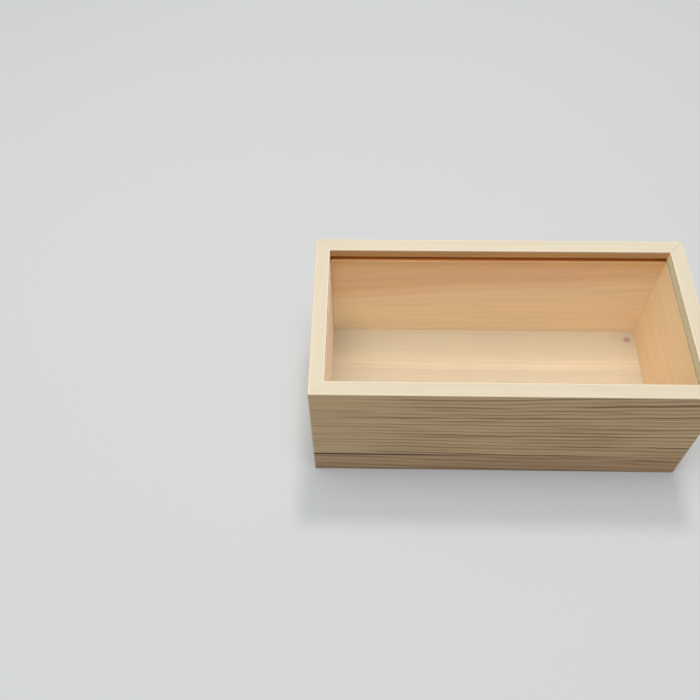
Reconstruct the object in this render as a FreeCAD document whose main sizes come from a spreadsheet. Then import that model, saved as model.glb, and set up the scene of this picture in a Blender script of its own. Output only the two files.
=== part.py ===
"""Sliding lid wooden tool box: a mitred pine box closed by a clear sheet.

Frame: millimetres, +Z up, origin at the middle of the underside.  The length
lies along X, the front wall is on -Y, and the lid slides out towards +X.
A rule is a sum in plain size names, such as "half_length - corner_easing".
"""
import FreeCAD, Part
import os
import re

import Sketcher

# Driving sizes in millimetres
SIZES = {
    "box_length": 200.0,
    "box_width": 100.0,
    "box_height": 80.0,
    "wall_thickness": 8.0,
    "rim_strip_height": 5.2,
    "groove_height": 4.3,
    "groove_depth": 4.0,
    "sheet_thickness": 3.0,
    "sheet_edge_clearance": 0.5,
    "sheet_corner_radius": 1.5,
    "slide_clearance": 0.15,
    "strip_end_gap": 0.1,
    "floor_thickness": 5.0,
    "rabbet_depth": 4.0,
    "floor_edge_clearance": 0.2,
    "front_seam_height": 18.0,
    "corner_easing": 0.8,
    "edge_easing": 0.5,
    "cut_overrun": 5.0,
}

# Sizes that follow from the driving ones, kept as formulas in the same sheet
DERIVED = {
    "half_length": "box_length / 2",
    "half_width": "box_width / 2",
    "inner_half_length": "half_length - wall_thickness",
    "inner_half_width": "half_width - wall_thickness",
    "corner_mitre_inset": "corner_easing * (1 - cos(45 deg))",
    "groove_top": "box_height - rim_strip_height",
    "groove_floor": "groove_top - groove_height",
    "groove_half_length": "inner_half_length + groove_depth",
    "groove_half_width": "inner_half_width + groove_depth",
    "sheet_bottom": "groove_floor + slide_clearance",
    "sheet_top": "sheet_bottom + sheet_thickness",
    "sheet_closed_edge": "groove_half_length - sheet_edge_clearance",
    "sheet_half_width": "groove_half_width - sheet_edge_clearance",
    "strip_half_width": "half_width - strip_end_gap",
    "strip_inner_half_width": "inner_half_width - strip_end_gap",
    "rabbet_half_length": "inner_half_length + rabbet_depth",
    "rabbet_half_width": "inner_half_width + rabbet_depth",
    "panel_half_length": "rabbet_half_length - floor_edge_clearance",
    "panel_half_width": "rabbet_half_width - floor_edge_clearance",
}

# Two coordinates nearer than this share are the same place on a drawing
SAME_PLACE_SHARE = 1e-6

document = FreeCAD.newDocument("sliding_lid_box")
sheet = document.addObject("Spreadsheet::Sheet", "Sizes")


def fill_sheet():
    """Write each driving size as a plain number and each derived one as a formula."""
    formulas = [(name, "=" + rule) for name, rule in DERIVED.items()]
    for row, (name, value) in enumerate([*SIZES.items(), *formulas], start=1):
        sheet.set(f"A{row}", name)
        sheet.set(f"B{row}", str(value))
        sheet.setAlias(f"B{row}", name)
    document.recompute()


def bound(rule):
    """The rule as an expression whose size names read the sheet."""
    known = SIZES.keys() | DERIVED.keys()
    return re.sub("[a-z_]+", lambda word: "Sizes." * (word[0] in known) + word[0], rule)


def value_of(rule):
    """The present value of a rule."""
    return float(sheet.evalExpression(bound(rule)))


def same_place(first, second):
    """Whether two coordinates on the box are the same."""
    return abs(first - second) < SAME_PLACE_SHARE * value_of("box_length")


def new_board(label):
    """A body that carries its own label."""
    body = document.addObject("PartDesign::Body", label)
    body.Label = label
    return body


def outward_arc(start, end, radius, middle):
    """The short arc of the radius from start to end that bulges away from middle."""
    chord = end - start
    bulge = FreeCAD.Vector(-chord.y, chord.x, 0).normalize()
    if bulge.dot((start + end) / 2 - middle) < 0:
        bulge = -bulge
    height = radius - (radius**2 - (chord.Length / 2) ** 2) ** 0.5
    return Part.Arc(start, (start + end) / 2 + bulge * height, end)


def end_numbers(sketch, side, start):
    """The numbers of a side's near and far end, because an arc may be stored backwards."""
    first, second = ((sketch.getPoint(side, number) - start).Length for number in (1, 2))
    return (1, 2) if first < second else (2, 1)


def outline_sketch(body, name, plane, corners, radii=None, level=None):
    """A closed outline on one of the body's origin planes.

    corners holds a pair of rules for each corner, in order round the outline.
    radii gives the rule of the radius of each side that is an arc, by the
    number of the side.  level is the rule of the height above the plane.
    """
    radii = radii or {}
    sketch = body.newObject("Sketcher::SketchObject", name)
    base = next(item for item in body.Origin.OriginFeatures if item.Role == plane)
    sketch.AttachmentSupport = (base, [""])
    sketch.MapMode = "FlatFace"
    if level:
        sketch.setExpression("AttachmentOffset.Base.z", bound(level))
    points = [FreeCAD.Vector(value_of(x_rule), value_of(y_rule), 0) for x_rule, y_rule in corners]
    middle = sum(points, FreeCAD.Vector()) / len(points)
    followers = points[1:] + points[:1]
    for side, (start, end) in enumerate(zip(points, followers)):
        if side in radii:
            sketch.addGeometry(outward_arc(start, end, value_of(radii[side]), middle), False)
        else:
            sketch.addGeometry(Part.LineSegment(start, end), False)
    ends = [end_numbers(sketch, side, start) for side, start in enumerate(points)]
    for side, (near, far) in enumerate(ends):
        following = (side + 1) % len(ends)
        sketch.addConstraint(Sketcher.Constraint("Coincident", side, far, following, ends[following][0]))
        for kind, rule in zip(("DistanceX", "DistanceY"), corners[side]):
            place = Sketcher.Constraint(kind, -1, 1, side, near, value_of(rule))
            sketch.setExpression(f"Constraints[{sketch.addConstraint(place)}]", bound(rule))
    for side, rule in radii.items():
        bend = Sketcher.Constraint("Radius", side, value_of(rule))
        sketch.setExpression(f"Constraints[{sketch.addConstraint(bend)}]", bound(rule))
    document.recompute()
    return sketch


def rectangle(low_x, high_x, low_y, high_y):
    """The four corners between two rules each way."""
    return [(low_x, low_y), (high_x, low_y), (high_x, high_y), (low_x, high_y)]


def raise_board(body, sketch, height):
    """Make the outline as tall as the rule height."""
    board = body.newObject("PartDesign::Pad", body.Name + "_blank")
    board.Profile = sketch
    board.setExpression("Length", bound(height))
    document.recompute()


def plough(body, sketch):
    """Cut the outline out of the whole board, both ways from its plane."""
    before = body.Shape.Volume
    cut = body.newObject("PartDesign::Pocket", sketch.Name + "_cut")
    cut.Profile = sketch
    cut.Type = "ThroughAll"
    cut.Midplane = True
    document.recompute()
    if not body.Shape.Volume < before:
        raise RuntimeError(sketch.Name + " cuts nothing")


def round_edges(body, name, keeps, radius):
    """Round, by the rule radius, each edge whose ends and middle all pass the test keeps."""
    base = body.Tip
    chosen = []
    for number, edge in enumerate(base.Shape.Edges, start=1):
        middle = edge.valueAt((edge.FirstParameter + edge.LastParameter) / 2)
        if all(keeps(spot) for spot in [middle, *(vertex.Point for vertex in edge.Vertexes)]):
            chosen.append(f"Edge{number}")
    if not chosen:
        raise RuntimeError(body.Name + " has no edge to round")
    rounding = body.newObject("PartDesign::Fillet", name)
    rounding.Base = (base, chosen)
    rounding.setExpression("Radius", bound(radius))
    document.recompute()


def mitred_corners(inner_half, outer_half, inner_face, outer_face, sign):
    """The plan of a board between two mitres, as rules along it and across it.

    sign is "-" for the board on the negative side.  The two outer corners are
    eased by arcs that stop on the mitre lines.
    """
    inner, outer = sign + inner_face, sign + outer_face
    on_mitre = f"{sign}({outer_face} - corner_mitre_inset)"
    return [
        (f"-{inner_half}", inner),
        (f"-({outer_half} - corner_mitre_inset)", on_mitre),
        (f"-({outer_half} - corner_easing)", outer),
        (f"{outer_half} - corner_easing", outer),
        (f"{outer_half} - corner_mitre_inset", on_mitre),
        (inner_half, inner),
    ]


MITRED_RADII = {1: "corner_easing", 3: "corner_easing"}


def long_blank(label, sign, bottom, top):
    """A mitred board along X, between two heights."""
    board = new_board(label)
    corners = mitred_corners("inner_half_length", "half_length", "inner_half_width", "half_width", sign)
    plan = outline_sketch(board, label + "_plan", "XY_Plane", corners, MITRED_RADII, bottom)
    raise_board(board, plan, f"{top} - {bottom}")
    return board


def end_blank(label, sign, bottom, top, inner_half="inner_half_width", outer_half="half_width"):
    """A mitred board along Y, between two heights."""
    board = new_board(label)
    corners = mitred_corners(inner_half, outer_half, "inner_half_length", "half_length", sign)
    plan = [(across, along) for along, across in corners]
    sketch = outline_sketch(board, label + "_plan", "XY_Plane", plan, MITRED_RADII, bottom)
    raise_board(board, sketch, f"{top} - {bottom}")
    return board


def plough_inner_face(board, name, plane, sign, inner_face, depth_face, low, high):
    """Cut a square channel into the inner face of a board, along all of it."""
    open_side = f"{sign}({inner_face} - cut_overrun)"
    channel = rectangle(open_side, sign + depth_face, low, high)
    plough(board, outline_sketch(board, f"{board.Name}_{name}", plane, channel))


def cut_long_groove(board, sign):
    """The channel in a long wall that guides the edge of the clear sheet."""
    faces = ("inner_half_width", "groove_half_width")
    plough_inner_face(board, "groove", "YZ_Plane", sign, *faces, "groove_floor", "groove_top")


def cut_long_rabbet(board, sign):
    """The step in a long wall that takes the bottom panel."""
    faces = ("inner_half_width", "rabbet_half_width")
    plough_inner_face(board, "rabbet", "YZ_Plane", sign, *faces, "-cut_overrun", "floor_thickness")


def cut_end_rabbet(board, sign):
    """The step in an end wall that takes the bottom panel."""
    faces = ("inner_half_length", "rabbet_half_length")
    plough_inner_face(board, "rabbet", "XZ_Plane", sign, *faces, "-cut_overrun", "floor_thickness")


def ease_rim(board, axis, inner_face, outer_face):
    """Ease both edges of the rim of a board; axis is the coordinate across the board."""
    rim = value_of("box_height")
    inner = value_of(inner_face)
    outer_from = value_of(f"{outer_face} - corner_easing")

    def on_rim_edge(spot):
        across = abs(spot[axis])
        return same_place(spot.z, rim) and (same_place(across, inner) or across > outer_from)

    round_edges(board, board.Name + "_rim_easing", on_rim_edge, "edge_easing")


def ease_foot(board, axis, outer_face):
    """Ease the outer edge that stands on the floor."""
    outer_from = value_of(f"{outer_face} - corner_easing")

    def on_foot_edge(spot):
        return same_place(spot.z, 0) and abs(spot[axis]) > outer_from

    round_edges(board, board.Name + "_foot_easing", on_foot_edge, "edge_easing")


X_AXIS, Y_AXIS = 0, 1


def front_wall_upper_stave():
    """The wide stave of the front wall, with the rim and the groove."""
    board = long_blank("front_wall_upper_stave", "-", "front_seam_height", "box_height")
    cut_long_groove(board, "-")
    ease_rim(board, Y_AXIS, "inner_half_width", "half_width")
    return board


def front_wall_lower_stave():
    """The narrow stave glued under it, with the step for the bottom panel."""
    board = long_blank("front_wall_lower_stave", "-", "0", "front_seam_height")
    cut_long_rabbet(board, "-")
    ease_foot(board, Y_AXIS, "half_width")
    return board


def back_wall_board():
    """The back wall, one wide board with groove and step."""
    board = long_blank("back_wall_board", "", "0", "box_height")
    cut_long_groove(board, "")
    cut_long_rabbet(board, "")
    ease_rim(board, Y_AXIS, "inner_half_width", "half_width")
    ease_foot(board, Y_AXIS, "half_width")
    return board


def closed_end_board():
    """The closed end, whose groove takes the sheet's far edge."""
    board = end_blank("closed_end_board", "-", "0", "box_height")
    faces = ("inner_half_length", "groove_half_length")
    plough_inner_face(board, "groove", "XZ_Plane", "-", *faces, "groove_floor", "groove_top")
    cut_end_rabbet(board, "-")
    ease_rim(board, X_AXIS, "inner_half_length", "half_length")
    ease_foot(board, X_AXIS, "half_length")
    return board


def exit_end_board():
    """The lower wall of the exit end: the sheet slides out over its top edge."""
    board = end_blank("exit_end_board", "", "0", "groove_floor")
    cut_end_rabbet(board, "")
    ease_foot(board, X_AXIS, "half_length")
    return board


def bottom_panel():
    """The floor board, glued into the step of the four walls."""
    board = new_board("bottom_panel")
    corners = rectangle("-panel_half_length", "panel_half_length", "-panel_half_width", "panel_half_width")
    raise_board(board, outline_sketch(board, "bottom_panel_plan", "XY_Plane", corners), "floor_thickness")
    return board


def lid_sheet():
    """The clear sheet, whose far corners are rounded so that it enters the grooves."""
    board = new_board("lid_sheet")
    corners = rectangle("-sheet_closed_edge", "groove_half_length", "-sheet_half_width", "sheet_half_width")
    plan = outline_sketch(board, "lid_sheet_plan", "XY_Plane", corners, level="sheet_bottom")
    raise_board(board, plan, "sheet_thickness")
    closed_edge = value_of("-sheet_closed_edge")
    half_width = value_of("sheet_half_width")

    def on_far_corner(spot):
        return same_place(spot.x, closed_edge) and same_place(abs(spot.y), half_width)

    round_edges(board, "lid_sheet_corners", on_far_corner, "sheet_corner_radius")
    return board


def lid_pull_strip():
    """The wooden strip glued on the sheet's end: it completes the rim and is the pull."""
    board = end_blank(
        "lid_pull_strip", "", "sheet_bottom", "box_height", "strip_inner_half_width", "strip_half_width"
    )
    faces = ("inner_half_length", "groove_half_length")
    low = "sheet_bottom - cut_overrun"
    plough_inner_face(board, "sheet_step", "XZ_Plane", "", *faces, low, "sheet_top")
    ease_rim(board, X_AXIS, "inner_half_length", "half_length")
    return board


def check_document():
    """Stop at any object that failed, and at any sub-part without a valid single solid."""
    for item in document.Objects:
        if {"Invalid", "Error"} & set(item.State):
            raise RuntimeError(f"{item.Name} failed: {item.State}")
    for body in document.findObjects("PartDesign::Body"):
        if body.Shape.isNull() or not body.Shape.isValid() or len(body.Shape.Solids) != 1:
            raise RuntimeError(body.Label + " is not one valid solid")


def write_parts():
    """Write each sub-part to a file of its own name."""
    os.makedirs("parts", exist_ok=True)
    for body in document.findObjects("PartDesign::Body"):
        body.Shape.exportStep(f"parts/{body.Label}.step")
        box = body.Shape.BoundBox
        print(f"{body.Label}: {body.Shape.Volume:.0f} mm3, "
              f"x {box.XMin:.2f} {box.XMax:.2f}, y {box.YMin:.2f} {box.YMax:.2f}, z {box.ZMin:.2f} {box.ZMax:.2f}")


fill_sheet()
front_wall_upper_stave()
front_wall_lower_stave()
back_wall_board()
closed_end_board()
exit_end_board()
bottom_panel()
lid_sheet()
lid_pull_strip()
document.recompute()
check_document()
write_parts()
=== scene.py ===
"""Sliding lid wooden box: the finish of its boards and its clear lid, on a pale stage.

Metres, +Z up, origin at the middle of the underside.  The length lies along X
and the front wall is on -Y.
"""
import math
from typing import NamedTuple

import bpy
from mathutils import Matrix, Vector


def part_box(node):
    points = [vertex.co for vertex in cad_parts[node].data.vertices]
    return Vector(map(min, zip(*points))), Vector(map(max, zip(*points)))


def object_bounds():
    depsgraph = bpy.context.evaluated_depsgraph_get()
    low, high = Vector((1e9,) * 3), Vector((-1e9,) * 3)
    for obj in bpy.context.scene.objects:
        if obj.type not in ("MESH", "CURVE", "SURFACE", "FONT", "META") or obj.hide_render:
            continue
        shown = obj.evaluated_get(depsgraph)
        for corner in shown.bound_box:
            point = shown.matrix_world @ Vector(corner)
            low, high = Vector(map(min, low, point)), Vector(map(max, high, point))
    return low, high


bl_info = {
    "name": "Sliding Lid Box Finish",
    "version": (1, 0, 0),
    "blender": (4, 5, 0),
    "location": "View3D > Sidebar > Box Finish",
    "description": "Pine boards and a clear sheet for a mitred box whose lid slides",
    "category": "Material",
}

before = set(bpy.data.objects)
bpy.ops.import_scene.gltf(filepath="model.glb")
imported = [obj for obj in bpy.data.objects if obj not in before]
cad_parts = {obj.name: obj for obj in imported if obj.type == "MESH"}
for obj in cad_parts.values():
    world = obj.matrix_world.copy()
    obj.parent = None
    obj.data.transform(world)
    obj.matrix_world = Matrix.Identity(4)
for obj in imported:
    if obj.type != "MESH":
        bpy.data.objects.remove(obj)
CAD_LOW, CAD_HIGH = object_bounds()

MILLIMETRE = 0.001

# Places read from the boards themselves
HALF_LENGTH = CAD_HIGH.x
HALF_WIDTH = CAD_HIGH.y
RIM_HEIGHT = CAD_HIGH.z
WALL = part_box("closed_end_board")[1].x - CAD_LOW.x
FRONT_SEAM_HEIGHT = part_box("front_wall_lower_stave")[1].z
GROOVE_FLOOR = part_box("exit_end_board")[1].z


class Grain(NamedTuple):
    """How the growth rings of the tree lie in one board, in metres.

    The board's own axes are along the grain, across the width and through the
    thickness.  The pith is the middle of the rings.  slope tilts the rings along
    the board, and spread makes them part from the level spread_centre as they go.
    contrast is the strength of the dark lines, which are faint before plain_until.
    The rings at dark_ring from the pith are the darkest, past dark_from along the
    board.  outer_wood names the colour of the outer faces and tone moves it towards
    warm wood.  inner_wood names the colour of the face that looks inwards, and
    strip_over_groove that of the strip over the groove, on a board that has one.
    Rings nearer to the pith than heart_radius have the colour that heart names.
    """
    pith_across: float
    pith_through: float
    ring_spacing: float
    slope: float = 0.0
    spread: float = 0.0
    spread_centre: float = 0.0
    waviness: float = 1.2 * MILLIMETRE
    contrast: float = 0.5
    outer_wood: str = "pale_wood"
    tone: float = 0.0
    seed: float = 0.0
    plain_until: float = -1.0
    heart_radius: float = -1.0
    heart: str = "heart_wood"
    knot_along: float = 1.0
    knot_across: float = 1.0
    knot_size: float = 1.5 * MILLIMETRE
    dark_ring: float = -1.0
    dark_from: float = 0.0
    inner_wood: str = "inside_wood_painted_light"
    strip_over_groove: str = ""


# The order of a board's axes, along, across and through, as axes of the box
ALONG_X_UPRIGHT = ("X", "Z", "Y")
ALONG_Y_UPRIGHT = ("Y", "Z", "X")
ALONG_X_FLAT = ("X", "Y", "Z")

AXES = {
    "front_wall_upper_stave": ALONG_X_UPRIGHT,
    "front_wall_lower_stave": ALONG_X_UPRIGHT,
    "back_wall_board": ALONG_X_UPRIGHT,
    "closed_end_board": ALONG_Y_UPRIGHT,
    "exit_end_board": ALONG_Y_UPRIGHT,
    "lid_pull_strip": ALONG_Y_UPRIGHT,
    "bottom_panel": ALONG_X_FLAT,
}

EXIT_END_GRAIN = Grain(
    pith_across=0.010, pith_through=0.140, ring_spacing=0.0036, slope=0.04, contrast=0.25, tone=0.15,
    seed=12.4)

GRAINS = {
    # Painted shade on the strip over the groove inside
    "front_wall_upper_stave": Grain(
        pith_across=-0.200, pith_through=0.020, ring_spacing=0.0035, spread=0.9, spread_centre=0.046,
        waviness=0.0012, contrast=2.1, outer_wood="front_wood", seed=1.3, plain_until=-0.080,
        dark_ring=0.2792, dark_from=0.03, inner_wood="front_inside", strip_over_groove="groove_strip_shade"),
    "front_wall_lower_stave": Grain(
        pith_across=-0.120, pith_through=-0.060, ring_spacing=0.0046, slope=0.04, waviness=0.0016,
        contrast=1.7, outer_wood="front_foot_wood", seed=4.1, inner_wood="front_inside"),
    # Inside, the sap wood lower down is painted light, paler than the heart above it; painted shade on the
    # strip over the groove
    "back_wall_board": Grain(
        pith_across=0.130, pith_through=-0.112, ring_spacing=0.0032, slope=0.03, contrast=0.36, tone=0.06,
        seed=7.7, heart_radius=0.175, knot_along=-0.106, knot_across=0.088, knot_size=0.007,
        inner_wood="sap_wood_painted_light", strip_over_groove="groove_strip_shade"),
    "closed_end_board": Grain(
        pith_across=0.160, pith_through=-0.160, ring_spacing=0.0034, slope=-0.09, contrast=0.28, tone=0.12,
        seed=9.2, inner_wood="closed_end_inside_and_lip_highlight", strip_over_groove="closed_end_inside_and_lip_highlight"),
    "exit_end_board": EXIT_END_GRAIN,
    # The pull strip's inner side has painted light
    "lid_pull_strip": EXIT_END_GRAIN._replace(inner_wood="strip_wood"),
    # The heart of the bottom panel, at its front, is painted shade that evens out the lamp's light there
    "bottom_panel": Grain(
        pith_across=-0.110, pith_through=-0.020, ring_spacing=0.0030, slope=0.01, contrast=0.45, tone=0.12,
        seed=15.8, heart_radius=0.1275, heart="bottom_front_shade", knot_along=0.0874, knot_across=0.0359,
        knot_size=0.0022, inner_wood="bottom_wood"),
}


def millimetres(*lengths):
    """Lengths given in millimetres, in metres."""
    return tuple(length * MILLIMETRE for length in lengths)


class Figure(NamedTuple):
    """A soft noise: its cells per metre along each axis, how far it is shifted and how fine it gets."""
    cells: tuple
    shift: float | tuple = 0.0
    detail: float = 1.0


# The wood's own noises, with their cells along the grain, across it and through the board
BEND = Figure((8, 18, 18), shift=2.2, detail=0.0)
SWAY = Figure((24, 42, 42))
RIPPLE = Figure((75, 180, 180))
BREAKS = Figure((16, 190, 190), shift=5.3, detail=1.5)
FIBRE = Figure((35, 1500, 1500), detail=3.0)
STREAK = Figure((7, 240, 240), shift=3.7, detail=2.0)
DRIFT = Figure((5, 22, 22), shift=8.1)
THREAD = Figure((15, 760, 760), shift=6.6)
THREAD_EDGE = (0.55, 0.68)

# How far the bend, the sway and the ripple move a ring, in wavinesses
BEND_REACH = 5.0
SWAY_REACH = 2.2
RIPPLE_REACH = 0.9

# In knot sizes: where the knot's core and halo fade out, and how far it bulges the rings
KNOT_CORE_EDGE = (0.6, 1.2)
KNOT_HALO_EDGE = (0.8, 6.0)
KNOT_BULGE = 2.2

# Rings are counted from this many before the pith, so that every count is above nought
RINGS_BEFORE_PITH = 200.0

# The dark line of a ring: how late in the ring it darkens, where it ends and how it breaks up
DARKENING_POWER = 3.2
LINE_END = (0.90, 1.0)
FAINTEST_RING = 0.4
BREAK_EDGE = (0.34, 0.54)
BROKEN_LINE = 0.3
PLAIN_LINE = 0.12
PLAIN_EDGE = millimetres(-12, 45)
PLAIN_EDGE_SWAY = 60 * MILLIMETRE
HEART_EDGE = millimetres(-4, 3)
DARK_RING_EDGE = millimetres(0.2, 1.6)
DARK_RING_STRENGTH = 0.45
DARK_START = millimetres(-20, 20)

# Where each mask of the box's faces begins and ends, as distances from an edge or face
RIM_EDGE = millimetres(0.4, 1.2)
INNER_FACE_EDGE = millimetres(0.1, 0.5)
GROOVE_FLOOR_EDGE = millimetres(-0.6, 0)
IN_THE_WALL = millimetres(0.2, 0.5)
GROOVE_BACK_EDGE = millimetres(3.5, 3.9)
# Lip: a painted highlight on the edge just under the groove
LIP_HIGHLIGHT_EDGE = millimetres(0.6, 1.4)
# Brink: a painted highlight along the inner edge of the rim
BRINK_HIGHLIGHT_EDGE = millimetres(0.4, 1.1)
# Foot: a painted contact shadow along the lowest millimetre
FOOT_SHADOW_EDGE = millimetres(0.2, 1.3)
EDGE_WIDTH = 1.1 * MILLIMETRE
SOFT_LINE = (0.3, 1.0)

# How much of each colour shows, and how calm the grain is on the rim and inside
HEART_SHARE = 0.9
# Strength of the painted highlight under the groove
LIP_HIGHLIGHT_SHARE = 0.7
RIM_CALM = 0.95
INSIDE_CALM = 0.6
THREAD_SHARE = 0.2
STREAK_STRENGTH = 0.28
STREAK_LOST_WHERE_SMOOTH = 0.14
DRIFT_STRENGTH = 0.12
WARM_DRIFT = (1.06, 0.99, 0.96, 1.0)
COOL_DRIFT = (0.94, 1.01, 1.04, 1.0)
KNOT_HALO_SHARE = 0.08
KNOT_SHARE = 0.8
# Pale sanded edges, which also carry a painted highlight, most on the rim
EDGE_WEAR_AND_HIGHLIGHT_SHARE = 0.3
RIM_EDGE_WEAR_AND_HIGHLIGHT_SHARE = 0.9
# Darker towards the bottom, over this height and by this share
DARKENED_HEIGHT = 12 * MILLIMETRE
DARKENING_SHARE = 0.14
# Strength of the painted contact shadow along the foot
FOOT_SHADOW_SHARE = 0.5

# The glued joints, whose dark lines fade towards the exit end
SEAM_HALF_WIDTH = 1.15 * MILLIMETRE
SEAM_FADE = millimetres(-55, 5)
SEAM_FAINT = 0.22
MITRE_HALF_WIDTH = 0.3 * MILLIMETRE
MITRE_ON_RIM = 0.01
MITRE_FADE = millimetres(-50, 50)
# Inside, the mitre lines also carry painted shade in the corners, most at the closed end
MITRE_INSIDE_CLOSED_END = 0.5
MITRE_INSIDE_EXIT_END = 0.1

# How much the fibres change the roughness, and how far the grain stands out
FIBRE_ROUGHNESS = 0.2
FIBRE_RELIEF = 0.7
RELIEF_STRENGTH = 0.6
WOOD_SHINE = 0.3

# Wear and saw marks of the sheet, with their cells along X, Y and Z
SMUDGES = Figure((28, 45, 1), shift=(2.1, 0.4, 0.0), detail=3.0)
SMUDGE_EDGE = (0.52, 0.75)
SMUDGE_SHARE = 0.6
SCRATCHES = Figure((9, 1400, 1), shift=(0.3, 5.2, 0.0))
SCRATCH_EDGE = (0.72, 0.80)
SIDE_EDGE = millimetres(0.02, 0.05)
SAW_MARKS = Figure((700, 700, 90), shift=(1.7, 3.1, 0.0))
SAW_MARK_DARKEST = 0.85
SAW_MARK_RANGE = 0.3
SAWN_ROUGHNESS = 0.5

# A ray that passes the sheet twice crosses this many of its faces
FACES_PASSED_BOTH_WAYS = 4
# Keeps a comparison of whole counts clear of the counts themselves
HALF_A_COUNT = 0.5

# The ground, which fades to the backdrop between two distances from the box
FLOOR_CLOUDS = Figure((3, 3, 3), shift=(0, 0, 0))
FLOOR_DARKEST = 0.985
FLOOR_RANGE = 0.03
FLOOR_ROUGHNESS = 0.7
FLOOR_SHINE = 0.2
FLOOR_FADES = (0.5, 1.3)

# The camera: its sensor in millimetres, and the nearest that it sees in metres
SENSOR_WIDTH = 36
NEAREST_SEEN = 10 * MILLIMETRE


class PineLook(bpy.types.PropertyGroup):
    """Colours and strengths shared by all the boards."""
    pale_wood: bpy.props.FloatVectorProperty(
        name="Pale Wood", description="Early wood of the palest board", subtype="COLOR",
        default=(0.80, 0.665, 0.465), min=0, max=1)
    warm_wood: bpy.props.FloatVectorProperty(
        name="Warm Wood", description="Early wood of the warmest board", subtype="COLOR",
        default=(0.41, 0.264, 0.136), min=0, max=1)
    front_wood: bpy.props.FloatVectorProperty(
        name="Front Wood", description="Early wood of the front wall's wide stave", subtype="COLOR",
        default=(0.580, 0.402, 0.221), min=0, max=1)
    front_foot_wood: bpy.props.FloatVectorProperty(
        name="Front Foot Wood", description="Early wood of the front wall's narrow stave", subtype="COLOR",
        default=(0.482, 0.306, 0.167), min=0, max=1)
    late_wood: bpy.props.FloatVectorProperty(
        name="Late Wood", description="The dark line that ends each growth ring", subtype="COLOR",
        default=(0.190, 0.100, 0.044), min=0, max=1)
    rim_wood: bpy.props.FloatVectorProperty(
        name="Rim Wood", description="Freshly sanded wood of the rim", subtype="COLOR",
        default=(0.57, 0.495, 0.370), min=0, max=1)
    # Inside Wood: the pine of the inner faces made paler than the outer pine, painted light that fills the
    # box
    inside_wood_painted_light: bpy.props.FloatVectorProperty(
        name="Inside Wood Painted Light", description="Unsanded wood of the faces that look inwards", subtype="COLOR",
        default=(0.96, 0.74, 0.427), min=0, max=1)
    bottom_wood: bpy.props.FloatVectorProperty(
        name="Bottom Wood", description="Greyer wood of the bottom panel", subtype="COLOR",
        default=(0.68, 0.56, 0.383), min=0, max=1)
    # Sap Wood: paler wood far from the pith, made paler still to paint the light that the floor throws on
    # the lower back wall inside
    sap_wood_painted_light: bpy.props.FloatVectorProperty(
        name="Sap Wood Painted Light", description="Paler wood inside, far from the pith of the tree", subtype="COLOR",
        default=(0.965, 0.775, 0.485), min=0, max=1)
    # Strip Wood: painted light, the inner side of the pull strip made pale to stand in for light it does not
    # get
    strip_wood: bpy.props.FloatVectorProperty(
        name="Strip Wood", description="Inner side of the pull strip", subtype="COLOR",
        default=(1.0, 0.86, 0.53), min=0, max=1)
    heart_wood: bpy.props.FloatVectorProperty(
        name="Heart Wood", description="Wood near the pith of the tree", subtype="COLOR",
        default=(0.86, 0.565, 0.285), min=0, max=1)
    # Bottom Heart: painted shade on the front of the bottom panel, which evens out the light of the lamp
    # behind the box
    bottom_front_shade: bpy.props.FloatVectorProperty(
        name="Bottom Front Shade", description="Darker wood of the bottom panel near the front wall",
        subtype="COLOR", default=(0.488, 0.404, 0.28), min=0, max=1)
    front_inside: bpy.props.FloatVectorProperty(
        name="Front Inside", description="Warm wood of the front wall, inside", subtype="COLOR",
        default=(0.64, 0.41, 0.21), min=0, max=1)
    # Groove Wood: painted shade on the strip over the groove
    groove_strip_shade: bpy.props.FloatVectorProperty(
        name="Groove Strip Shade", description="Strip over the groove, burnished by the saw", subtype="COLOR",
        default=(0.80, 0.40, 0.157), min=0, max=1)
    # Closed End Inside: the closed end's inner wood, also used for the painted highlight on the lip under
    # the groove
    closed_end_inside_and_lip_highlight: bpy.props.FloatVectorProperty(
        name="Closed End Inside", description="Pale wood of the closed end, inside", subtype="COLOR",
        default=(1.0, 0.88, 0.69), min=0, max=1)
    # Edge Wood: pale sanded edges, also used as a painted highlight on the edges and along the rim's inner
    # edge
    edge_wood_and_highlight: bpy.props.FloatVectorProperty(
        name="Edge Wood And Highlight", description="Sanded edges, paler than the faces", subtype="COLOR",
        default=(0.655, 0.556, 0.408), min=0, max=1)
    # Slot Wood: painted shade inside the groove
    slot_shade: bpy.props.FloatVectorProperty(
        name="Slot Shade", description="Dark wood inside the groove", subtype="COLOR",
        default=(0.78, 0.225, 0.026), min=0, max=1)
    knot_wood: bpy.props.FloatVectorProperty(
        name="Knot Wood", description="Core of a knot", subtype="COLOR",
        default=(0.34, 0.20, 0.11), min=0, max=1)
    # Seam Colour: the glued joints, and also the painted contact shadow along the foot and the painted shade
    # in the inner corners
    seam_and_shadow_colour: bpy.props.FloatVectorProperty(
        name="Seam And Shadow Colour", description="Dark line where two boards are glued", subtype="COLOR",
        default=(0.055, 0.028, 0.011), min=0, max=1)
    fibre_strength: bpy.props.FloatProperty(
        name="Fibre Strength", description="How much the fine fibres change the tone", subtype="FACTOR",
        default=0.10, min=0, max=1)
    roughness: bpy.props.FloatProperty(
        name="Roughness", description="Roughness of the sanded wood", subtype="FACTOR",
        default=0.62, min=0, max=1)
    relief: bpy.props.FloatProperty(
        name="Relief", description="Height of the grain above the soft wood", subtype="DISTANCE",
        unit="LENGTH", default=0.03 * MILLIMETRE, min=0)


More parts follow.
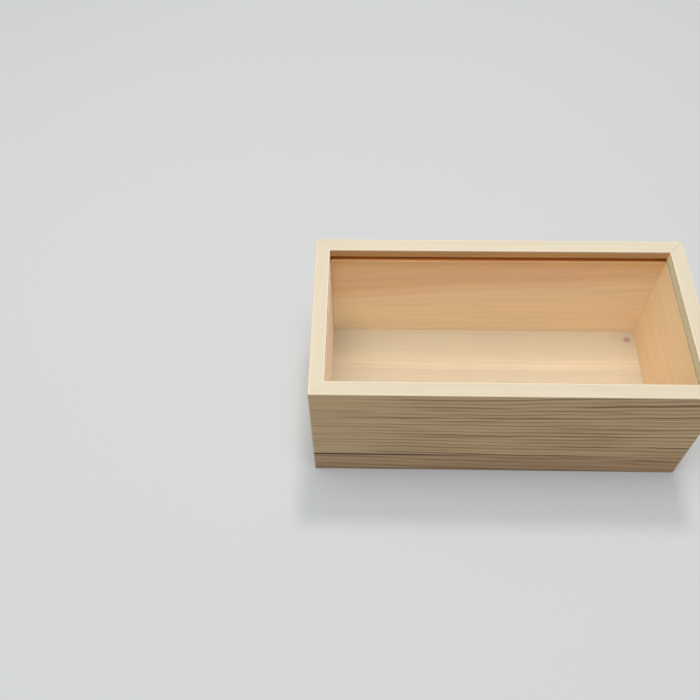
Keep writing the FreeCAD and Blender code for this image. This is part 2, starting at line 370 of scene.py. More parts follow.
class SheetLook(bpy.types.PropertyGroup):
    """The clear sheet of the lid."""
    tint: bpy.props.FloatVectorProperty(
        name="Tint", description="Colour of light that has passed the sheet", subtype="COLOR",
        default=(0.965, 0.96, 0.955), min=0, max=1)
    refraction: bpy.props.FloatProperty(
        name="Refraction", description="Refractive index of the sheet", default=1.49, min=1, max=2)
    roughness: bpy.props.FloatProperty(
        name="Roughness", description="Roughness of the polished faces", subtype="FACTOR",
        default=0.01, min=0, max=1)
    worn_roughness: bpy.props.FloatProperty(
        name="Worn Roughness", description="Roughness of smudges and scratches", subtype="FACTOR",
        default=0.07, min=0, max=1)
    sawn_edge: bpy.props.FloatVectorProperty(
        name="Sawn Edge", description="Matt narrow sides of the sheet, as the saw left them",
        subtype="COLOR", default=(0.66, 0.70, 0.71), min=0, max=1)


class StageLook(bpy.types.PropertyGroup):
    """The pale ground, the two lamps and the surroundings."""
    floor_colour: bpy.props.FloatVectorProperty(
        name="Floor Colour", description="Colour of the ground", subtype="COLOR",
        default=(0.511, 0.515, 0.523), min=0, max=1)
    floor_size: bpy.props.FloatProperty(
        name="Floor Size", description="Side of the ground", subtype="DISTANCE", unit="LENGTH",
        default=12.0, min=1)
    overhead_place: bpy.props.FloatVectorProperty(
        name="Overhead Place", description="Middle of the wide lamp overhead", subtype="TRANSLATION",
        unit="LENGTH", default=(-0.22, -0.135, 1.55))
    overhead_size: bpy.props.FloatProperty(
        name="Overhead Size", description="Side of the wide lamp overhead", subtype="DISTANCE",
        unit="LENGTH", default=1.0, min=0.1)
    overhead_power: bpy.props.FloatProperty(
        name="Overhead Power", description="Power of the wide lamp overhead", unit="POWER",
        default=19.8, min=0)
    overhead_colour: bpy.props.FloatVectorProperty(
        name="Overhead Colour", description="Colour of the wide lamp overhead", subtype="COLOR",
        default=(0.97, 1.0, 1.0), min=0, max=1)
    key_place: bpy.props.FloatVectorProperty(
        name="Key Place", description="Middle of the smaller lamp behind the box", subtype="TRANSLATION",
        unit="LENGTH", default=(0.05, 0.56, 1.55))
    key_size: bpy.props.FloatProperty(
        name="Key Size", description="Side of the smaller lamp", subtype="DISTANCE", unit="LENGTH",
        default=0.2, min=0.05)
    key_power: bpy.props.FloatProperty(
        name="Key Power", description="Power of the smaller lamp", unit="POWER", default=8.4, min=0)
    key_colour: bpy.props.FloatVectorProperty(
        name="Key Colour", description="Colour of the smaller lamp", subtype="COLOR",
        default=(1.0, 0.93, 0.88), min=0, max=1)
    world_level: bpy.props.FloatProperty(
        name="World Level", description="Light from all round", subtype="FACTOR",
        default=0.38, min=0, max=1)
    backdrop_colour: bpy.props.FloatVectorProperty(
        name="Backdrop Colour", description="Colour of the surroundings", subtype="COLOR",
        default=(0.95, 0.98, 1.0), min=0, max=1)
    backdrop_level: bpy.props.FloatProperty(
        name="Backdrop Level", description="Brightness of the surroundings where they are seen",
        subtype="FACTOR", default=0.68, min=0, max=1)


class PhotoCamera(bpy.types.PropertyGroup):
    """The view point, worked out from the corners of the box in the photograph."""
    place: bpy.props.FloatVectorProperty(
        name="Place", description="View point", subtype="TRANSLATION", unit="LENGTH",
        default=(-0.0716, -0.2510, 0.4136), precision=4)
    pitch: bpy.props.FloatProperty(
        name="Pitch", description="How far the view looks down", subtype="ANGLE", unit="ROTATION",
        default=math.radians(55.73))
    turn: bpy.props.FloatProperty(
        name="Turn", description="Turn of the view about the upright", subtype="ANGLE", unit="ROTATION",
        default=math.radians(2.09))
    roll: bpy.props.FloatProperty(
        name="Roll", description="Tilt of the horizon", subtype="ANGLE", unit="ROTATION",
        default=math.radians(-1.18))
    lens: bpy.props.FloatProperty(
        name="Lens", description="Focal length on a 36 mm sensor", unit="CAMERA", default=41.6, min=10)


LOOKS = {
    "pine_look": PineLook,
    "sheet_look": SheetLook,
    "stage_look": StageLook,
    "photo_camera": PhotoCamera,
}


def put(tree, kind, values=None, **settings):
    """Add a node; values gives each input, by name or number, a socket to link or a value."""
    made = tree.nodes.new("ShaderNode" + kind)
    for name, value in settings.items():
        setattr(made, name, value)
    for key, value in (values or {}).items():
        give(tree, made.inputs[key], value)
    return made


def give(tree, socket, value):
    """Link value to the input if it is a socket, else set it."""
    if isinstance(value, bpy.types.NodeSocket):
        tree.links.new(value, socket)
    else:
        socket.default_value = value


def maths(tree, operation, *terms):
    """The result of a Math node on sockets or numbers."""
    return put(tree, "Math", dict(enumerate(terms)), operation=operation).outputs[0]


def chained(tree, operation, *terms):
    """The result of one operation on any number of sockets or numbers, in order."""
    result = terms[0]
    for term in terms[1:]:
        result = maths(tree, operation, result, term)
    return result


def added(tree, *terms):
    """The sum of sockets or numbers."""
    return chained(tree, "ADD", *terms)


def times(tree, *factors):
    """The product of sockets or numbers."""
    return chained(tree, "MULTIPLY", *factors)


def less(tree, value, amount):
    """A value made less by an amount."""
    return maths(tree, "SUBTRACT", value, amount)


def highest(tree, *values):
    """The highest of sockets or numbers."""
    return chained(tree, "MAXIMUM", *values)


def lowest(tree, *values):
    """The lowest of sockets or numbers."""
    return chained(tree, "MINIMUM", *values)


def centred(tree, value):
    """A noise moved so that its middle is at nought."""
    return less(tree, value, 0.5)


def hypotenuse(tree, first, second):
    """The distance that two lengths at a right angle make."""
    return maths(tree, "SQRT", added(tree, times(tree, first, first), times(tree, second, second)))


def noise(tree, place, cells, shift, detail):
    """Soft noise between 0 and 1, from the values of a Figure."""
    scaled = put(tree, "VectorMath", {0: place, 1: cells}, operation="MULTIPLY").outputs[0]
    where = put(tree, "VectorMath", {0: scaled, 1: shift}, operation="ADD").outputs[0]
    return put(tree, "TexNoise", {"Vector": where, "Scale": 1.0, "Detail": detail}).outputs["Fac"]


def wood_noise(tree, entry, figure):
    """One of the wood's own noises, shifted by its group's seed as well."""
    return noise(tree, entry["Place"], figure.cells, added(tree, entry["Seed"], figure.shift), figure.detail)


def smooth_step(tree, value, low, high, start=0.0, end=1.0):
    """A soft change from start to end while value goes from low to high."""
    return put(
        tree, "MapRange",
        {"Value": value, "From Min": low, "From Max": high, "To Min": start, "To Max": end},
        interpolation_type="SMOOTHSTEP").outputs["Result"]


def falling(tree, value, low, high):
    """A soft change from 1 to 0 while value goes from low to high."""
    return smooth_step(tree, value, low, high, 1.0, 0.0)


def blended(tree, share, first, second, blend="MIX"):
    """Two colours mixed by share."""
    mix = put(tree, "Mix", {0: share}, data_type="RGBA", blend_type=blend, clamp_factor=True)
    give(tree, mix.inputs[6], first)
    give(tree, mix.inputs[7], second)
    return mix.outputs[2]


def solid(colour):
    """A colour with full cover, as the sockets of colours take it."""
    return (*colour, 1.0)


def shaded(tree, colour, level):
    """A colour made lighter or darker by a level."""
    grey = put(tree, "CombineColor", {0: level, 1: level, 2: level}).outputs[0]
    return blended(tree, 1.0, colour, grey, "MULTIPLY")


def new_group(name, inputs, outputs):
    """A node group with named sockets; returns the tree, its inputs and its output node."""
    tree = bpy.data.node_groups.new(name, "ShaderNodeTree")
    for socket_name, kind, default in inputs:
        socket = tree.interface.new_socket(socket_name, in_out="INPUT", socket_type="NodeSocket" + kind)
        if default is not None:
            socket.default_value = default
    for socket_name in outputs:
        tree.interface.new_socket(socket_name, in_out="OUTPUT", socket_type="NodeSocketFloat")
    entry = tree.nodes.new("NodeGroupInput")
    leave = tree.nodes.new("NodeGroupOutput")
    return tree, entry.outputs, leave


def send(tree, leave, **results):
    """Link each result to the group's output of that name, whose words are parted by spaces."""
    for name, result in results.items():
        give(tree, leave.inputs[name.replace("_", " ").title()], result)


def placed(tree, group, values):
    """A node group put into a tree with its own values."""
    made = tree.nodes.new("ShaderNodeGroup")
    made.node_tree = group
    for name, value in values.items():
        give(tree, made.inputs[name], value)
    return made.outputs


def new_material(name):
    """A material without nodes, and its tree."""
    material = bpy.data.materials.new(name)
    material.use_nodes = True
    material.node_tree.nodes.clear()
    return material, material.node_tree


def pine_grain_group():
    """Growth rings, fibres and one knot, as masks.

    Rings are surfaces at the same distance from the pith line.  The distance is
    the root of the squares across and through, plus a slope and a spreading along
    the board, a slow sway and a bulge round the knot.  The part of the distance
    left over after whole ring spacings gives the place within a ring: soft early
    wood that darkens slowly and ends in a thin dark line.
    """
    tree, entry, leave = new_group(
        "Pine Grain",
        [("Place", "Vector", None), ("Pith Across", "Float", 0.05), ("Pith Through", "Float", 0.05),
         ("Ring Spacing", "Float", 0.003), ("Slope", "Float", 0.0), ("Spread", "Float", 0.0),
         ("Spread Centre", "Float", 0.0), ("Waviness", "Float", 0.001), ("Seed", "Float", 0.0),
         ("Plain Until", "Float", -1.0), ("Heart Radius", "Float", -1.0), ("Knot Along", "Float", 1.0),
         ("Knot Across", "Float", 1.0), ("Knot Size", "Float", 0.001), ("Dark Ring", "Float", -1.0),
         ("Dark From", "Float", 0.0)],
        ["Late Wood", "Heart", "Fibre", "Streak", "Drift", "Thread", "Knot", "Knot Halo"])
    axes = put(tree, "SeparateXYZ", {0: entry["Place"]}).outputs
    along, across, through = axes["X"], axes["Y"], axes["Z"]

    sway = centred(tree, wood_noise(tree, entry, SWAY))
    knot, halo = knot_masks(tree, entry, along, across)
    bulge = times(tree, halo, times(tree, entry["Knot Size"], KNOT_BULGE))
    from_pith = hypotenuse(
        tree, less(tree, across, entry["Pith Across"]), less(tree, through, entry["Pith Through"]))
    lean = times(tree, entry["Slope"], along)
    from_centre = less(tree, entry["Spread Centre"], across)
    parting = times(tree, entry["Spread"], times(tree, from_centre, along))
    distance = added(tree, from_pith, lean, parting, ring_wander(tree, entry, sway), bulge)
    send(
        tree, leave,
        late_wood=late_wood_mask(tree, entry, along, distance, sway),
        heart=falling(tree, less(tree, distance, entry["Heart Radius"]), *HEART_EDGE),
        fibre=wood_noise(tree, entry, FIBRE),
        streak=wood_noise(tree, entry, STREAK),
        drift=wood_noise(tree, entry, DRIFT),
        thread=smooth_step(tree, wood_noise(tree, entry, THREAD), *THREAD_EDGE),
        knot=knot,
        knot_halo=halo)
    return tree


def ring_wander(tree, entry, sway):
    """How far a ring is from its true circle: a slow bend, a sway and a fine ripple."""
    bend = centred(tree, wood_noise(tree, entry, BEND))
    ripple = centred(tree, wood_noise(tree, entry, RIPPLE))
    waviness = entry["Waviness"]
    return added(
        tree,
        times(tree, bend, times(tree, waviness, BEND_REACH)),
        times(tree, sway, times(tree, waviness, SWAY_REACH)),
        times(tree, ripple, times(tree, waviness, RIPPLE_REACH)))


def knot_masks(tree, entry, along, across):
    """The dark core of the knot, and the wood that bends round it."""
    from_knot = hypotenuse(
        tree, less(tree, along, entry["Knot Along"]), less(tree, across, entry["Knot Across"]))
    distance = maths(tree, "DIVIDE", from_knot, entry["Knot Size"])
    return falling(tree, distance, *KNOT_CORE_EDGE), falling(tree, distance, *KNOT_HALO_EDGE)


def late_wood_mask(tree, entry, along, distance, sway):
    """The line that ends each ring, of a strength of its own and broken up, and the darkest ring."""
    phase = added(tree, maths(tree, "DIVIDE", distance, entry["Ring Spacing"]), RINGS_BEFORE_PITH)
    in_ring = maths(tree, "FRACT", phase)
    number = added(tree, maths(tree, "FLOOR", phase), entry["Seed"])
    luck = put(tree, "TexWhiteNoise", {"W": number}, noise_dimensions="1D").outputs["Value"]
    strength = added(tree, times(tree, luck, 1.0 - FAINTEST_RING), FAINTEST_RING)
    line = times(tree, maths(tree, "POWER", in_ring, DARKENING_POWER), falling(tree, in_ring, *LINE_END))
    broken = smooth_step(tree, wood_noise(tree, entry, BREAKS), *BREAK_EDGE, BROKEN_LINE, 1.0)
    ragged = added(tree, along, times(tree, sway, PLAIN_EDGE_SWAY))
    past_plain = less(tree, ragged, entry["Plain Until"])
    figured = smooth_step(tree, past_plain, *PLAIN_EDGE, PLAIN_LINE, 1.0)
    late = times(tree, line, times(tree, strength, times(tree, broken, figured)))
    off_dark_ring = maths(tree, "ABSOLUTE", less(tree, distance, entry["Dark Ring"]))
    dark = times(tree, smooth_step(tree, off_dark_ring, *DARK_RING_EDGE, DARK_RING_STRENGTH, 0.0),
                 smooth_step(tree, less(tree, along, entry["Dark From"]), *DARK_START))
    return highest(tree, late, dark)


def box_faces_group():
    """Masks for the parts of a board that the maker's tools left different.

    Rim is the sanded top.  Inside is the faces that look inwards, found by how far
    a point stands inside the outer faces.  Strip is the inner face over the groove,
    Slot is the faces of the groove, and Lip the edge just under it.  Brink is the
    inner edge of the rim, and Foot the lowest millimetre.  Edge is 1 where two of
    the three distances to the outer faces are small, which is along every outer
    edge: the middle one of the three decides.
    """
    tree, entry, leave = new_group(
        "Box Faces",
        [("Place", "Vector", None), ("Half Length", "Float", 0.1), ("Half Width", "Float", 0.05),
         ("Height", "Float", 0.08), ("Wall", "Float", 0.008), ("Groove Floor", "Float", 0.0705),
         ("Edge Width", "Float", 0.001)],
        ["Rim", "Inside", "Strip", "Slot", "Lip", "Edge", "Brink", "Foot"])
    axes = put(tree, "SeparateXYZ", {0: entry["Place"]}).outputs
    from_end = less(tree, entry["Half Length"], maths(tree, "ABSOLUTE", axes["X"]))
    from_side = less(tree, entry["Half Width"], maths(tree, "ABSOLUTE", axes["Y"]))
    from_top = less(tree, entry["Height"], axes["Z"])
    nearer = lowest(tree, from_end, from_side)
    farther = highest(tree, from_end, from_side)

    rim = falling(tree, from_top, *RIM_EDGE)
    under_rim = less(tree, 1.0, rim)
    from_inner_face = less(tree, entry["Wall"], nearer)
    inside = times(tree, falling(tree, from_inner_face, *INNER_FACE_EDGE), under_rim)
    over_floor = smooth_step(tree, less(tree, axes["Z"], entry["Groove Floor"]), *GROOVE_FLOOR_EDGE)
    deep_in = times(tree, smooth_step(tree, from_inner_face, *IN_THE_WALL),
                    smooth_step(tree, nearer, *GROOVE_BACK_EDGE))
    middle = highest(tree, nearer, lowest(tree, farther, from_top, axes["Z"]))
    send(
        tree, leave,
        rim=rim,
        inside=inside,
        strip=times(tree, inside, over_floor),
        slot=times(tree, times(tree, over_floor, deep_in), under_rim),
        lip=times(tree, inside, falling(tree, less(tree, entry["Groove Floor"], axes["Z"]), *LIP_HIGHLIGHT_EDGE)),
        edge=falling(tree, maths(tree, "DIVIDE", middle, entry["Edge Width"]), *SOFT_LINE),
        brink=times(tree, rim, falling(tree, from_inner_face, *BRINK_HIGHLIGHT_EDGE)),
        # Foot: where the painted contact shadow goes
        foot=falling(tree, axes["Z"], *FOOT_SHADOW_EDGE))
    return tree


def joint_line_group():
    """A mask that is 1 on a glued joint and falls off to 0 over its half width."""
    tree, entry, leave = new_group(
        "Joint Line", [("Distance", "Float", 1.0), ("Half Width", "Float", 0.0002)], ["Line"])
    gap = maths(tree, "DIVIDE", maths(tree, "ABSOLUTE", entry["Distance"]), entry["Half Width"])
    send(tree, leave, line=falling(tree, gap, *SOFT_LINE))
    return tree


def pine_groups():
    """The node groups that the boards share, built once."""
    return {
        "grain": bpy.data.node_groups.get("Pine Grain") or pine_grain_group(),
        "faces": bpy.data.node_groups.get("Box Faces") or box_faces_group(),
        "joint": bpy.data.node_groups.get("Joint Line") or joint_line_group(),
    }


def pine_material(node, look, groups):
    """The material of one board, from its grain and its place in the box."""
    grain = GRAINS[node]
    material, tree = new_material("pine_" + node)
    place = put(tree, "TexCoord").outputs["Object"]
    box_axes = put(tree, "SeparateXYZ", {0: place}).outputs
    board_place = put(
        tree, "CombineXYZ", {number: box_axes[axis] for number, axis in enumerate(AXES[node])}).outputs[0]
    masks = placed(tree, groups["grain"], {
        "Place": board_place, "Pith Across": grain.pith_across, "Pith Through": grain.pith_through,
        "Ring Spacing": grain.ring_spacing, "Slope": grain.slope, "Spread": grain.spread,
        "Spread Centre": grain.spread_centre, "Waviness": grain.waviness, "Seed": grain.seed,
        "Plain Until": grain.plain_until, "Heart Radius": grain.heart_radius,
        "Knot Along": grain.knot_along, "Knot Across": grain.knot_across, "Knot Size": grain.knot_size,
        "Dark Ring": grain.dark_ring, "Dark From": grain.dark_from})
    faces = placed(tree, groups["faces"], {
        "Place": place, "Half Length": HALF_LENGTH, "Half Width": HALF_WIDTH, "Height": RIM_HEIGHT,
        "Wall": WALL, "Groove Floor": GROOVE_FLOOR, "Edge Width": EDGE_WIDTH})

    colour = face_colours(tree, grain, look, masks, faces)
    colour = with_dark_lines(tree, colour, grain, look, masks, faces)
    colour = with_uneven_tone(tree, colour, look, masks, faces)
    colour = with_knot(tree, colour, look, masks)
    colour = with_wear_highlights_and_shade(tree, colour, look, faces, box_axes)
    if node.startswith("front_wall"):
        colour = with_seam(tree, colour, look, groups["joint"], box_axes)
    if node != "bottom_panel":
        colour = with_mitres_and_corner_shade(tree, colour, look, groups["joint"], faces, box_axes)

    fibre_roughness = times(tree, centred(tree, masks["Fibre"]), FIBRE_ROUGHNESS)
    height = added(tree, masks["Late Wood"], times(tree, masks["Fibre"], FIBRE_RELIEF))
    bump = put(tree, "Bump", {"Height": height, "Distance": look.relief, "Strength": RELIEF_STRENGTH})
    shader = put(tree, "BsdfPrincipled", {
        "Base Color": colour, "Roughness": added(tree, look.roughness, fibre_roughness),
        "Normal": bump.outputs[0], "Specular IOR Level": WOOD_SHINE})
    put(tree, "OutputMaterial", {"Surface": shader.outputs[0]})
    return material


def face_colours(tree, grain, look, masks, faces):
    """The plain colours of the outer and inner faces, the rim, and the groove if the board has one: painted
    shade on the strip over the groove and in the slot, and a painted highlight on the lip under it.
    """
    outer_wood = [own + (warm - own) * grain.tone
                  for own, warm in zip(getattr(look, grain.outer_wood), look.warm_wood)]
    inner_wood = getattr(look, grain.inner_wood)
    # The inner faces take their inner colours, paler than the outer pine to paint light into the box
    colour = blended(tree, faces["Inside"], solid(outer_wood), solid(inner_wood))
    heart_share = times(tree, faces["Inside"], HEART_SHARE)
    heart_wood = getattr(look, grain.heart)
    # The heart's colour; on the bottom panel it is painted shade at the front
    colour = blended(tree, times(tree, masks["Heart"], heart_share), colour, solid(heart_wood))
    colour = blended(tree, faces["Rim"], colour, solid(look.rim_wood))
    if grain.strip_over_groove:
        strip_wood = getattr(look, grain.strip_over_groove)
        # Painted highlight on the lip under the groove
        colour = blended(tree, times(tree, faces["Lip"], LIP_HIGHLIGHT_SHARE), colour, solid(look.closed_end_inside_and_lip_highlight))
        # Painted shade on the strip over the groove of the front and back walls; the closed end keeps its
        # inner wood there
        colour = blended(tree, faces["Strip"], colour, solid(strip_wood))
        # Painted shade inside the groove
        colour = blended(tree, faces["Slot"], colour, solid(look.slot_shade))
    return colour


def with_dark_lines(tree, colour, grain, look, masks, faces):
    """The ring lines and the fine threads, calmer on the rim and inside."""
    calm = highest(tree, times(tree, faces["Rim"], RIM_CALM), times(tree, faces["Inside"], INSIDE_CALM))
    line_strength = times(tree, less(tree, 1.0, calm), grain.contrast)
    colour = blended(tree, times(tree, masks["Late Wood"], line_strength), colour, solid(look.late_wood))
    thread_strength = times(tree, line_strength, THREAD_SHARE)
    return blended(tree, times(tree, masks["Thread"], thread_strength), colour, solid(look.late_wood))


def with_uneven_tone(tree, colour, look, masks, faces):
    """Fibres, streaks and slow drifts make the wood lighter and darker, warmer and cooler."""
    smooth = highest(tree, faces["Rim"], faces["Inside"])
    streak_strength = added(tree, STREAK_STRENGTH, times(tree, smooth, -STREAK_LOST_WHERE_SMOOTH))
    level = added(
        tree, 1.0,
        times(tree, centred(tree, masks["Fibre"]), look.fibre_strength),
        times(tree, centred(tree, masks["Streak"]), streak_strength),
        times(tree, centred(tree, masks["Drift"]), DRIFT_STRENGTH))
    hue = blended(tree, masks["Drift"], WARM_DRIFT, COOL_DRIFT)
    return blended(tree, 1.0, shaded(tree, colour, level), hue, "MULTIPLY")


def with_knot(tree, colour, look, masks):
    """The knot's dark core and the faint halo round it."""
    colour = blended(tree, times(tree, masks["Knot Halo"], KNOT_HALO_SHARE), colour, solid(look.late_wood))
    return blended(tree, times(tree, masks["Knot"], KNOT_SHARE), colour, solid(look.knot_wood))


def with_wear_highlights_and_shade(tree, colour, look, faces, box_axes):
    """Pale sanded edges that carry a painted highlight, a painted highlight along the rim's inner edge,
    darker wood towards the bottom, and a painted contact shadow along the foot.
    """
    edge_share = smooth_step(tree, faces["Rim"], 0.0, 1.0, EDGE_WEAR_AND_HIGHLIGHT_SHARE, RIM_EDGE_WEAR_AND_HIGHLIGHT_SHARE)
    # Painted highlight along the rim's inner edge, and pale sanded outer edges that carry a painted
    # highlight too
    worn_and_highlit_edge = highest(tree, faces["Brink"], times(tree, faces["Edge"], edge_share))
    colour = blended(tree, worn_and_highlit_edge, colour, solid(look.edge_wood_and_highlight))
    # Darker towards the bottom, shaded towards the knot's colour
    near_ground = smooth_step(tree, box_axes["Z"], 0.0, DARKENED_HEIGHT, DARKENING_SHARE, 0.0)
    colour = blended(tree, near_ground, colour, solid(look.knot_wood))
    # Painted contact shadow along the foot
    return blended(tree, times(tree, faces["Foot"], FOOT_SHADOW_SHARE), colour, solid(look.seam_and_shadow_colour))


def with_seam(tree, colour, look, joint, box_axes):
    """The seam between the front wall's two staves, open at the closed end and tight at the other."""
    to_seam = less(tree, box_axes["Z"], FRONT_SEAM_HEIGHT)
    seam = placed(tree, joint, {"Distance": to_seam, "Half Width": SEAM_HALF_WIDTH})["Line"]
    fading = smooth_step(tree, box_axes["X"], *SEAM_FADE, 1.0, SEAM_FAINT)
    return blended(tree, times(tree, seam, fading), colour, solid(look.seam_and_shadow_colour))


def with_mitres_and_corner_shade(tree, colour, look, joint, faces, box_axes):
    """The corner joints, faint on the rim; inside, the dark joint line is darkened further with painted
    shade in the corners, most at the closed end.
    """
    off_diagonal = less(tree, maths(tree, "ABSOLUTE", box_axes["X"]), maths(tree, "ABSOLUTE", box_axes["Y"]))
    to_mitre = less(tree, off_diagonal, HALF_LENGTH - HALF_WIDTH)
    mitre = placed(tree, joint, {"Distance": to_mitre, "Half Width": MITRE_HALF_WIDTH})["Line"]
    # Painted shade in the inner corners, on top of the dark mitre joint
    joint_and_corner_shade = smooth_step(tree, box_axes["X"], *MITRE_FADE, MITRE_INSIDE_CLOSED_END, MITRE_INSIDE_EXIT_END)
    strength = added(tree, MITRE_ON_RIM, times(tree, faces["Inside"], joint_and_corner_shade))
    return blended(tree, times(tree, mitre, strength), colour, solid(look.seam_and_shadow_colour))


def sheet_wear_group():
    """Faint smudges from hands and fine scratches along the way that the sheet slides.

    Smudges are soft noise above a threshold.  Scratches are noise stretched along X,
    so thin that only its peaks show.
    """
    tree, entry, leave = new_group(
        "Sheet Wear", [("Place", "Vector", None), ("Clean", "Float", 0.01), ("Worn", "Float", 0.06)],
        ["Roughness"])
    smudge = smooth_step(tree, noise(tree, entry["Place"], *SMUDGES), *SMUDGE_EDGE)
    scratch = smooth_step(tree, noise(tree, entry["Place"], *SCRATCHES), *SCRATCH_EDGE)
    wear = highest(tree, times(tree, smudge, SMUDGE_SHARE), scratch)
    between = less(tree, entry["Worn"], entry["Clean"])
    send(tree, leave, roughness=added(tree, entry["Clean"], times(tree, wear, between)))
    return tree


def sheet_sides_group():
    """A mask for the narrow sides of the sheet, and the marks that the saw left on them."""
    tree, entry, leave = new_group(
        "Sheet Sides",
        [("Place", "Vector", None), ("Half Width", "Float", 0.045), ("Low End", "Float", -0.095),
         ("High End", "Float", 0.096)],
        ["Side", "Saw Marks"])
    axes = put(tree, "SeparateXYZ", {0: entry["Place"]}).outputs
    from_long_side = less(tree, entry["Half Width"], maths(tree, "ABSOLUTE", axes["Y"]))
    from_low_end = less(tree, axes["X"], entry["Low End"])
    from_high_end = less(tree, entry["High End"], axes["X"])
    nearest = lowest(tree, from_long_side, from_low_end, from_high_end)
    send(
        tree, leave,
        side=falling(tree, nearest, *SIDE_EDGE),
        saw_marks=noise(tree, entry["Place"], *SAW_MARKS))
    return tree


def clear_sheet_material(look):
    """Clear sheet with matt sawn sides, worn outside and smooth within, that lets lamps through."""
    material, tree = new_material("clear_sheet")
    place = put(tree, "TexCoord").outputs["Object"]
    wear = placed(tree, sheet_wear_group(), {
        "Place": place, "Clean": look.roughness, "Worn": look.worn_roughness})
    from_outside = less(tree, 1.0, put(tree, "NewGeometry").outputs["Backfacing"])
    clear = put(tree, "BsdfPrincipled", {
        "Base Color": solid(look.tint), "Roughness": times(tree, wear["Roughness"], from_outside),
        "IOR": look.refraction, "Transmission Weight": 1.0})
    open_way = put(tree, "BsdfTransparent", {"Color": solid(look.tint)})
    for_lamps = put(tree, "LightPath").outputs["Is Shadow Ray"]
    sheet = put(tree, "MixShader", {0: for_lamps, 1: clear.outputs[0], 2: open_way.outputs[0]})

    low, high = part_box("lid_sheet")
    sides = placed(tree, sheet_sides_group(), {
        "Place": place, "Half Width": high.y, "Low End": low.x, "High End": high.x})
    level = added(tree, SAW_MARK_DARKEST, times(tree, sides["Saw Marks"], SAW_MARK_RANGE))
    sawn = put(tree, "BsdfPrincipled", {
        "Base Color": shaded(tree, solid(look.sawn_edge), level), "Roughness": SAWN_ROUGHNESS})
    finished = put(tree, "MixShader", {0: sides["Side"], 1: sheet.outputs[0], 2: sawn.outputs[0]})
    put(tree, "OutputMaterial", {"Surface": finished.outputs[0]})
    return material


def finish_piece(node, material):
    """Give one piece its material."""
    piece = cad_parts[node]
    piece.data.materials.clear()
    piece.data.materials.append(material)


def finish_board(node):
    """Give one board its own pine."""
    finish_piece(node, pine_material(node, bpy.context.scene.pine_look, pine_groups()))


class BOX_OT_front_wall(bpy.types.Operator):
    """Finish the two glued staves of the front wall"""
    bl_idname = "box.front_wall"
    bl_label = "Front Wall"

    def execute(self, context):
        finish_board("front_wall_upper_stave")
        finish_board("front_wall_lower_stave")
        return {"FINISHED"}


class BOX_OT_back_wall(bpy.types.Operator):
    """Finish the wide board of the back wall"""
    bl_idname = "box.back_wall"
    bl_label = "Back Wall"

    def execute(self, context):
        finish_board("back_wall_board")
        return {"FINISHED"}


class BOX_OT_end_walls(bpy.types.Operator):
    """Finish the closed end and the board under the lid at the exit end"""
    bl_idname = "box.end_walls"
    bl_label = "End Walls"

    def execute(self, context):
        finish_board("closed_end_board")
        finish_board("exit_end_board")
        return {"FINISHED"}


class BOX_OT_bottom(bpy.types.Operator):
    """Finish the bottom panel with its small knot"""
    bl_idname = "box.bottom"
    bl_label = "Bottom Panel"

    def execute(self, context):
        finish_board("bottom_panel")
        return {"FINISHED"}


class BOX_OT_lid(bpy.types.Operator):
    """Finish the clear sheet and the wooden strip that pulls it"""
    bl_idname = "box.lid"
    bl_label = "Sliding Lid"

    def execute(self, context):
        finish_board("lid_pull_strip")
        finish_piece("lid_sheet", clear_sheet_material(context.scene.sheet_look))
        return {"FINISHED"}


class BOX_OT_stage(bpy.types.Operator):
    """Set the pale ground, the two lamps and the surroundings"""
    bl_idname = "box.stage"
    bl_label = "Stage"

    def execute(self, context):
        look = context.scene.stage_look
        reach = look.floor_size / 2
        mesh = bpy.data.meshes.new("stage_floor")
        mesh.from_pydata([(-reach, -reach, 0), (reach, -reach, 0), (reach, reach, 0), (-reach, reach, 0)],
                         [], [(0, 1, 2, 3)])
        floor = bpy.data.objects.new("stage_floor", mesh)
        context.scene.collection.objects.link(floor)
        mesh.materials.append(floor_material(look))

        overhead = hang_lamp(context.scene, "overhead_lamp", look.overhead_place, look.overhead_size)
        overhead.data.energy = look.overhead_power
        overhead.data.color = look.overhead_colour
        overhead.visible_glossy = False
        overhead.visible_transmission = False
        key = hang_lamp(context.scene, "key_lamp", look.key_place, look.key_size)
        key.data.energy = look.key_power
        key.data.color = look.key_colour
        key.visible_transmission = False
        set_world(context.scene, look)
        context.scene.view_settings.view_transform = "Standard"
        return {"FINISHED"}


def hang_lamp(scene, name, place, size):
    """A square lamp that faces the middle of the box."""
    data = bpy.data.lights.new(name, "AREA")
    data.size = size
    lamp = bpy.data.objects.new(name, data)
    lamp.location = place
    lamp.rotation_euler = Vector(place).to_track_quat("Z", "Y").to_euler()
    scene.collection.objects.link(lamp)
    return lamp


def seen_rays(tree):
    """1 for what the camera sees itself, in a mirror or through the clear sheet.

    Light that comes in through the sheet counts too where the camera also looks
    through it, so that more of it fills the closed box and not the ground under an
    open lid.
    """
    rays = put(tree, "LightPath").outputs
    straight_on = maths(tree, "LESS_THAN", rays["Diffuse Depth"], HALF_A_COUNT)
    in_and_out = maths(
        tree, "GREATER_THAN", rays["Transmission Depth"], FACES_PASSED_BOTH_WAYS - HALF_A_COUNT)
    by_the_sheet = highest(tree, rays["Is Glossy Ray"], rays["Is Transmission Ray"])
    in_view = times(tree, by_the_sheet, highest(tree, straight_on, in_and_out))
    return highest(tree, rays["Is Camera Ray"], in_view)


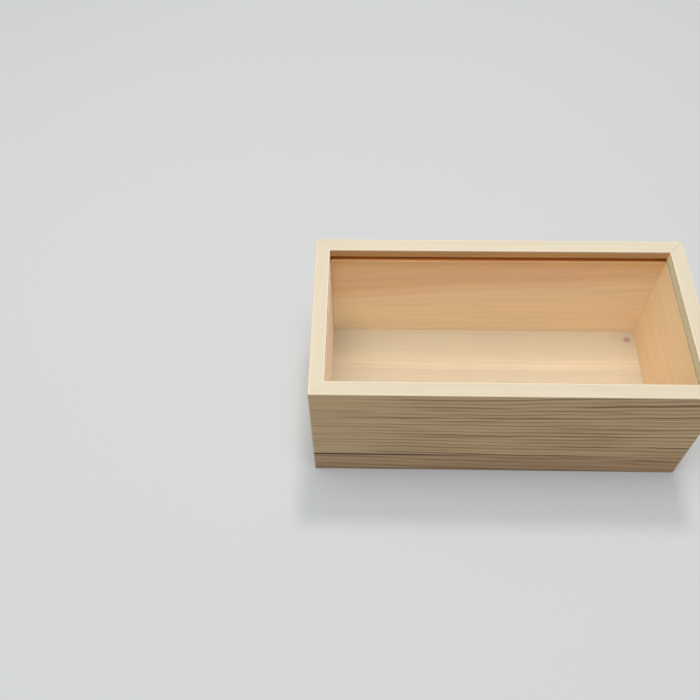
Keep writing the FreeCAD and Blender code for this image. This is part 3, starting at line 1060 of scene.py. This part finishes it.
def floor_material(look):
    """Matt pale ground, faintly uneven, that runs into the backdrop far from the box."""
    material, tree = new_material("stage_floor")
    place = put(tree, "TexCoord").outputs["Object"]
    cloud = noise(tree, place, *FLOOR_CLOUDS)
    level = added(tree, FLOOR_DARKEST, times(tree, cloud, FLOOR_RANGE))
    shader = put(tree, "BsdfPrincipled", {
        "Base Color": shaded(tree, solid(look.floor_colour), level), "Roughness": FLOOR_ROUGHNESS,
        "Specular IOR Level": FLOOR_SHINE})
    far = put(tree, "VectorMath", {0: place}, operation="LENGTH").outputs["Value"]
    share = times(tree, smooth_step(tree, far, *FLOOR_FADES), seen_rays(tree))
    backdrop = put(tree, "Emission", {"Color": solid(look.backdrop_colour), "Strength": look.backdrop_level})
    both = put(tree, "MixShader", {0: share, 1: shader.outputs[0], 2: backdrop.outputs[0]})
    put(tree, "OutputMaterial", {"Surface": both.outputs[0]})
    return material


def set_world(scene, look):
    """Dim light from all round, with a pale surrounding where it is seen or mirrored."""
    world = bpy.data.worlds.new("surroundings")
    world.use_nodes = True
    tree = world.node_tree
    tree.nodes.clear()
    brighter = times(tree, seen_rays(tree), look.backdrop_level - look.world_level)
    background = put(tree, "Background", {
        "Color": solid(look.backdrop_colour), "Strength": added(tree, look.world_level, brighter)})
    put(tree, "OutputWorld", {"Surface": background.outputs[0]})
    scene.world = world


class BOX_OT_camera(bpy.types.Operator):
    """Stand the camera where the photograph was taken from"""
    bl_idname = "box.camera"
    bl_label = "Camera"

    def execute(self, context):
        look = context.scene.photo_camera
        data = bpy.data.cameras.new("photo_camera")
        data.sensor_width = SENSOR_WIDTH
        data.lens = look.lens
        data.clip_start = NEAREST_SEEN
        camera = bpy.data.objects.new("photo_camera", data)
        context.scene.collection.objects.link(camera)
        camera.matrix_world = (
            Matrix.Translation(look.place)
            @ Matrix.Rotation(look.turn, 4, "Z")
            @ Matrix.Rotation(math.pi / 2 - look.pitch, 4, "X")
            @ Matrix.Rotation(look.roll, 4, "Z"))
        context.scene.camera = camera
        return {"FINISHED"}


OPERATORS = (
    BOX_OT_camera, BOX_OT_front_wall, BOX_OT_back_wall, BOX_OT_end_walls, BOX_OT_bottom, BOX_OT_lid,
    BOX_OT_stage)


class BOX_PT_finish(bpy.types.Panel):
    """Lists the finishing steps of the box and their values"""
    bl_idname = "BOX_PT_finish"
    bl_label = "Box Finish"
    bl_space_type = "VIEW_3D"
    bl_region_type = "UI"
    bl_category = "Box Finish"

    def draw(self, context):
        for step in OPERATORS:
            self.layout.operator(step.bl_idname)
        for name in LOOKS:
            values = getattr(context.scene, name)
            section = self.layout.box()
            for key in values.__annotations__:
                section.prop(values, key)


def register():
    """Add the steps, the panel and the values of the scene."""
    for kind in (*LOOKS.values(), *OPERATORS, BOX_PT_finish):
        bpy.utils.register_class(kind)
    for name, kind in LOOKS.items():
        setattr(bpy.types.Scene, name, bpy.props.PointerProperty(type=kind))


def unregister():
    """Take them away again."""
    for name in LOOKS:
        delattr(bpy.types.Scene, name)
    for kind in reversed((*LOOKS.values(), *OPERATORS, BOX_PT_finish)):
        bpy.utils.unregister_class(kind)


def main():
    """Finish the whole box."""
    register()
    bpy.ops.box.camera()
    bpy.ops.box.front_wall()
    bpy.ops.box.back_wall()
    bpy.ops.box.end_walls()
    bpy.ops.box.bottom()
    bpy.ops.box.lid()
    bpy.ops.box.stage()
    bpy.context.view_layer.update()


if __name__ == "__main__":
    main()
